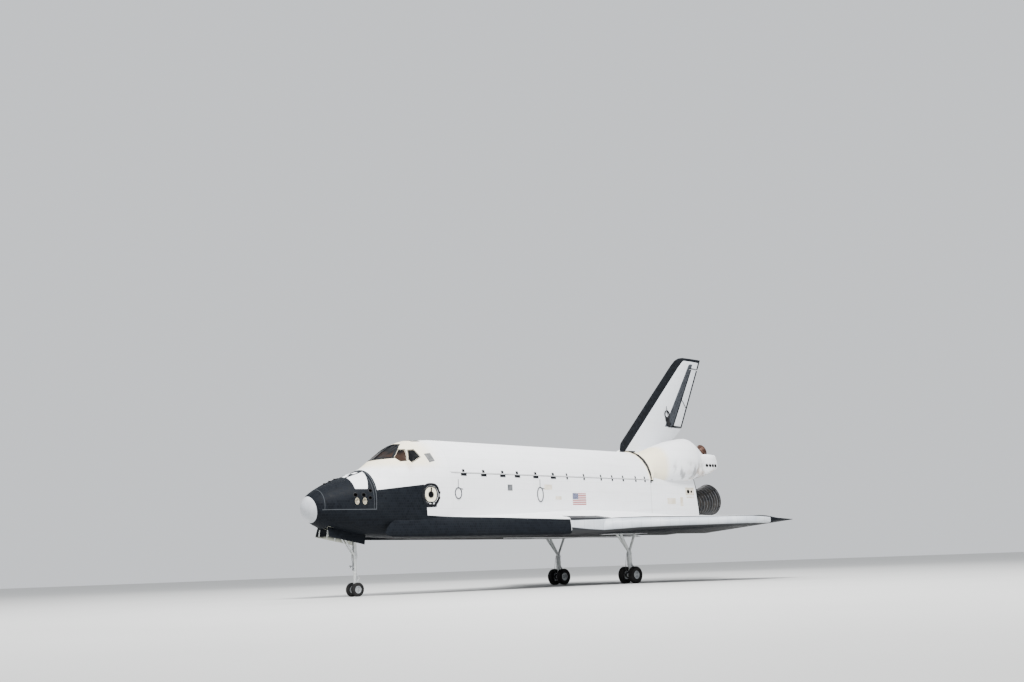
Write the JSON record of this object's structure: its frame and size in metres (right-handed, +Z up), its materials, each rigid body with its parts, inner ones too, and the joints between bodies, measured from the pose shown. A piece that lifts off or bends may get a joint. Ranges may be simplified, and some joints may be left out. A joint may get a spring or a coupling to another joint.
{
  "type": "winged space shuttle orbiter",
  "caption": "Full-size winged space shuttle orbiter on its landing gear, with opening payload doors, crew hatch, moving elevons, split rudder, body flap and gimballed engines.",
  "frame": {"origin": "on the ground, midway along the overall length, on the centre line", "axes": "+X aft along the length, +Y to starboard, +Z up"},
  "size_m": [37.211, 23.774, 17.247],
  "materials": {
    "white_tile": "matt white tiles and blankets",
    "black_tile": "satin black tiles",
    "grey_panel": "smooth pale grey panels",
    "cabin_glass": "dark tinted",
    "deck_metal": "painted dark grey",
    "engine_metal": "dark heat-stained",
    "gear_metal": "pale grey paint",
    "wheel_metal": "satin",
    "tyre": "matt black"
  },
  "bodies": {
    "airframe": {"nose_cap": "grey_panel", "forward_thruster_module": "black_tile", "forward_fuselage": "white_tile", "windshield_glass": "cabin_glass", "overhead_glass": "cabin_glass", "aft_window_glass": "cabin_glass", "flight_deck": "deck_metal", "mid_fuselage": "white_tile", "aft_fuselage": "white_tile", "wing_left": "white_tile", "wing_right": "white_tile", "leading_edge_left": "grey_panel", "leading_edge_right": "grey_panel", "vertical_fin": "white_tile", "fin_leading_edge": "black_tile", "pod_left": "white_tile", "pod_right": "white_tile", "nose_strut": "gear_metal", "main_strut_left": "gear_metal", "main_strut_right": "gear_metal"},
    "hatch": {"crew_hatch": "white_tile"},
    "door_left": {"payload_door_left": "white_tile"},
    "door_right": {"payload_door_right": "white_tile"},
    "elevon_in_left": {"elevon_inboard_left": "white_tile"},
    "elevon_in_right": {"elevon_inboard_right": "white_tile"},
    "elevon_out_left": {"elevon_outboard_left": "white_tile"},
    "elevon_out_right": {"elevon_outboard_right": "white_tile"},
    "flap": {"body_flap": "black_tile"},
    "rudder": {"rudder_spine": "deck_metal"},
    "rudder_left": {"rudder_lower_left": "white_tile", "rudder_upper_left": "white_tile"},
    "rudder_right": {"rudder_lower_right": "white_tile", "rudder_upper_right": "white_tile"},
    "engine_top": {"main_engine_top": "engine_metal"},
    "engine_port": {"main_engine_port": "engine_metal"},
    "engine_starboard": {"main_engine_starboard": "engine_metal"},
    "pod_bell_left": {"pod_engine_left": "engine_metal"},
    "pod_bell_right": {"pod_engine_right": "engine_metal"},
    "nose_steering": {"nose_fork": "gear_metal"},
    "nose_wheelset": {"nose_wheels": "wheel_metal", "nose_tyre_left": "tyre", "nose_tyre_right": "tyre"},
    "well_door_left": {"nose_door_left": "black_tile"},
    "well_door_right": {"nose_door_right": "black_tile"},
    "main_wheelset_left": {"main_left_wheels": "wheel_metal", "main_left_tyre_left": "tyre", "main_left_tyre_right": "tyre"},
    "main_wheelset_right": {"main_right_wheels": "wheel_metal", "main_right_tyre_left": "tyre", "main_right_tyre_right": "tyre"}
  },
  "joints": [
    {"name": "hatch_open", "type": "hinge", "parent": "airframe", "child": "hatch", "pos_m": [-11.2905, -2.628, 5.236], "axis": [1, 0, 0], "range_deg": [0, 90]},
    {"name": "door_left_open", "type": "hinge", "parent": "airframe", "child": "door_left", "pos_m": [0, -2.649, 7.188], "axis": [1, 0, 0], "range_deg": [0, 175.5]},
    {"name": "door_right_open", "type": "hinge", "parent": "airframe", "child": "door_right", "pos_m": [0, 2.649, 7.188], "axis": [-1, 0, 0], "range_deg": [0, 175.5]},
    {"name": "elevon_in_left_pitch", "type": "hinge", "parent": "airframe", "child": "elevon_in_left", "pos_m": [10.5795, -3.15, 3.64], "axis": [0, -0.9996, 0.0265], "range_deg": [-18, 33.5]},
    {"name": "elevon_in_right_pitch", "type": "hinge", "parent": "airframe", "child": "elevon_in_right", "pos_m": [10.5795, 3.15, 3.64], "axis": [0, -0.9996, -0.0265], "range_deg": [-18, 33.5]},
    {"name": "elevon_out_left_pitch", "type": "hinge", "parent": "airframe", "child": "elevon_out_left", "pos_m": [10.5795, -11.65, 3.86525], "axis": [0, -0.9996, 0.0265], "range_deg": [-18, 33.5]},
    {"name": "elevon_out_right_pitch", "type": "hinge", "parent": "airframe", "child": "elevon_out_right", "pos_m": [10.5795, 11.65, 3.86525], "axis": [0, -0.9996, -0.0265], "range_deg": [-18, 33.5]},
    {"name": "flap_pitch", "type": "hinge", "parent": "airframe", "child": "flap", "pos_m": [14.2625, 0, 3.81], "axis": [0, -1, 0], "range_deg": [-22.55, 11.7]},
    {"name": "rudder_yaw", "type": "hinge", "parent": "airframe", "child": "rudder", "pos_m": [14.0745, 0, 11.53], "axis": [0.5289, 0, 0.8487], "range_deg": [-27.1, 27.1]},
    {"name": "rudder_split_left", "type": "hinge", "parent": "rudder", "child": "rudder_left", "pos_m": [14.0745, 0, 11.53], "axis": [-0.5289, 0, -0.8487], "range_deg": [0, 43.6]},
    {"name": "rudder_split_right", "type": "hinge", "parent": "rudder", "child": "rudder_right", "pos_m": [14.0745, 0, 11.53], "axis": [0.5289, 0, 0.8487], "range_deg": [0, 43.6]},
    {"name": "engine_top_pitch", "type": "hinge", "parent": "airframe", "child": "engine_top", "pos_m": [12.0525, 0, 7.772], "axis": [0, -1, 0], "range_deg": [-10.5, 10.5]},
    {"name": "engine_port_pitch", "type": "hinge", "parent": "airframe", "child": "engine_port", "pos_m": [12.6365, -1.346, 5.222], "axis": [0, -1, 0], "range_deg": [-10.5, 10.5]},
    {"name": "engine_starboard_pitch", "type": "hinge", "parent": "airframe", "child": "engine_starboard", "pos_m": [12.6365, 1.346, 5.222], "axis": [0, -1, 0], "range_deg": [-10.5, 10.5]},
    {"name": "pod_bell_left_pitch", "type": "hinge", "parent": "airframe", "child": "pod_bell_left", "pos_m": [13.8945, -2.3, 9.15], "axis": [0, -1, 0], "range_deg": [-6, 6]},
    {"name": "pod_bell_right_pitch", "type": "hinge", "parent": "airframe", "child": "pod_bell_right", "pos_m": [13.8945, 2.3, 9.15], "axis": [0, -1, 0], "range_deg": [-6, 6]},
    {"name": "nose_steer", "type": "hinge", "parent": "airframe", "child": "nose_steering", "pos_m": [-15.0455, 0, 1.45], "axis": [0, 0, 1], "range_deg": [-10, 10]},
    {"name": "nose_wheel_spin", "type": "hinge", "parent": "nose_steering", "child": "nose_wheelset", "pos_m": [-15.0455, 0, 0.406], "axis": [0, 1, 0], "continuous": true},
    {"name": "well_door_left_close", "type": "hinge", "parent": "airframe", "child": "well_door_left", "pos_m": [-17.2255, -0.56, 3.9959], "axis": [0.9825, 0, -0.1865], "range_deg": [0, 38]},
    {"name": "well_door_right_close", "type": "hinge", "parent": "airframe", "child": "well_door_right", "pos_m": [-17.2255, 0.56, 3.9959], "axis": [-0.9825, 0, 0.1865], "range_deg": [0, 38]},
    {"name": "main_wheel_left_spin", "type": "hinge", "parent": "airframe", "child": "main_wheelset_left", "pos_m": [4.9945, -3.454, 0.565], "axis": [0, 1, 0], "continuous": true},
    {"name": "main_wheel_right_spin", "type": "hinge", "parent": "airframe", "child": "main_wheelset_right", "pos_m": [4.9945, 3.454, 0.565], "axis": [0, 1, 0], "continuous": true}
  ],
  "couplings": [
    {"joint": "rudder_split_right", "follows": "rudder_split_left", "ratio": 1}
  ]
}
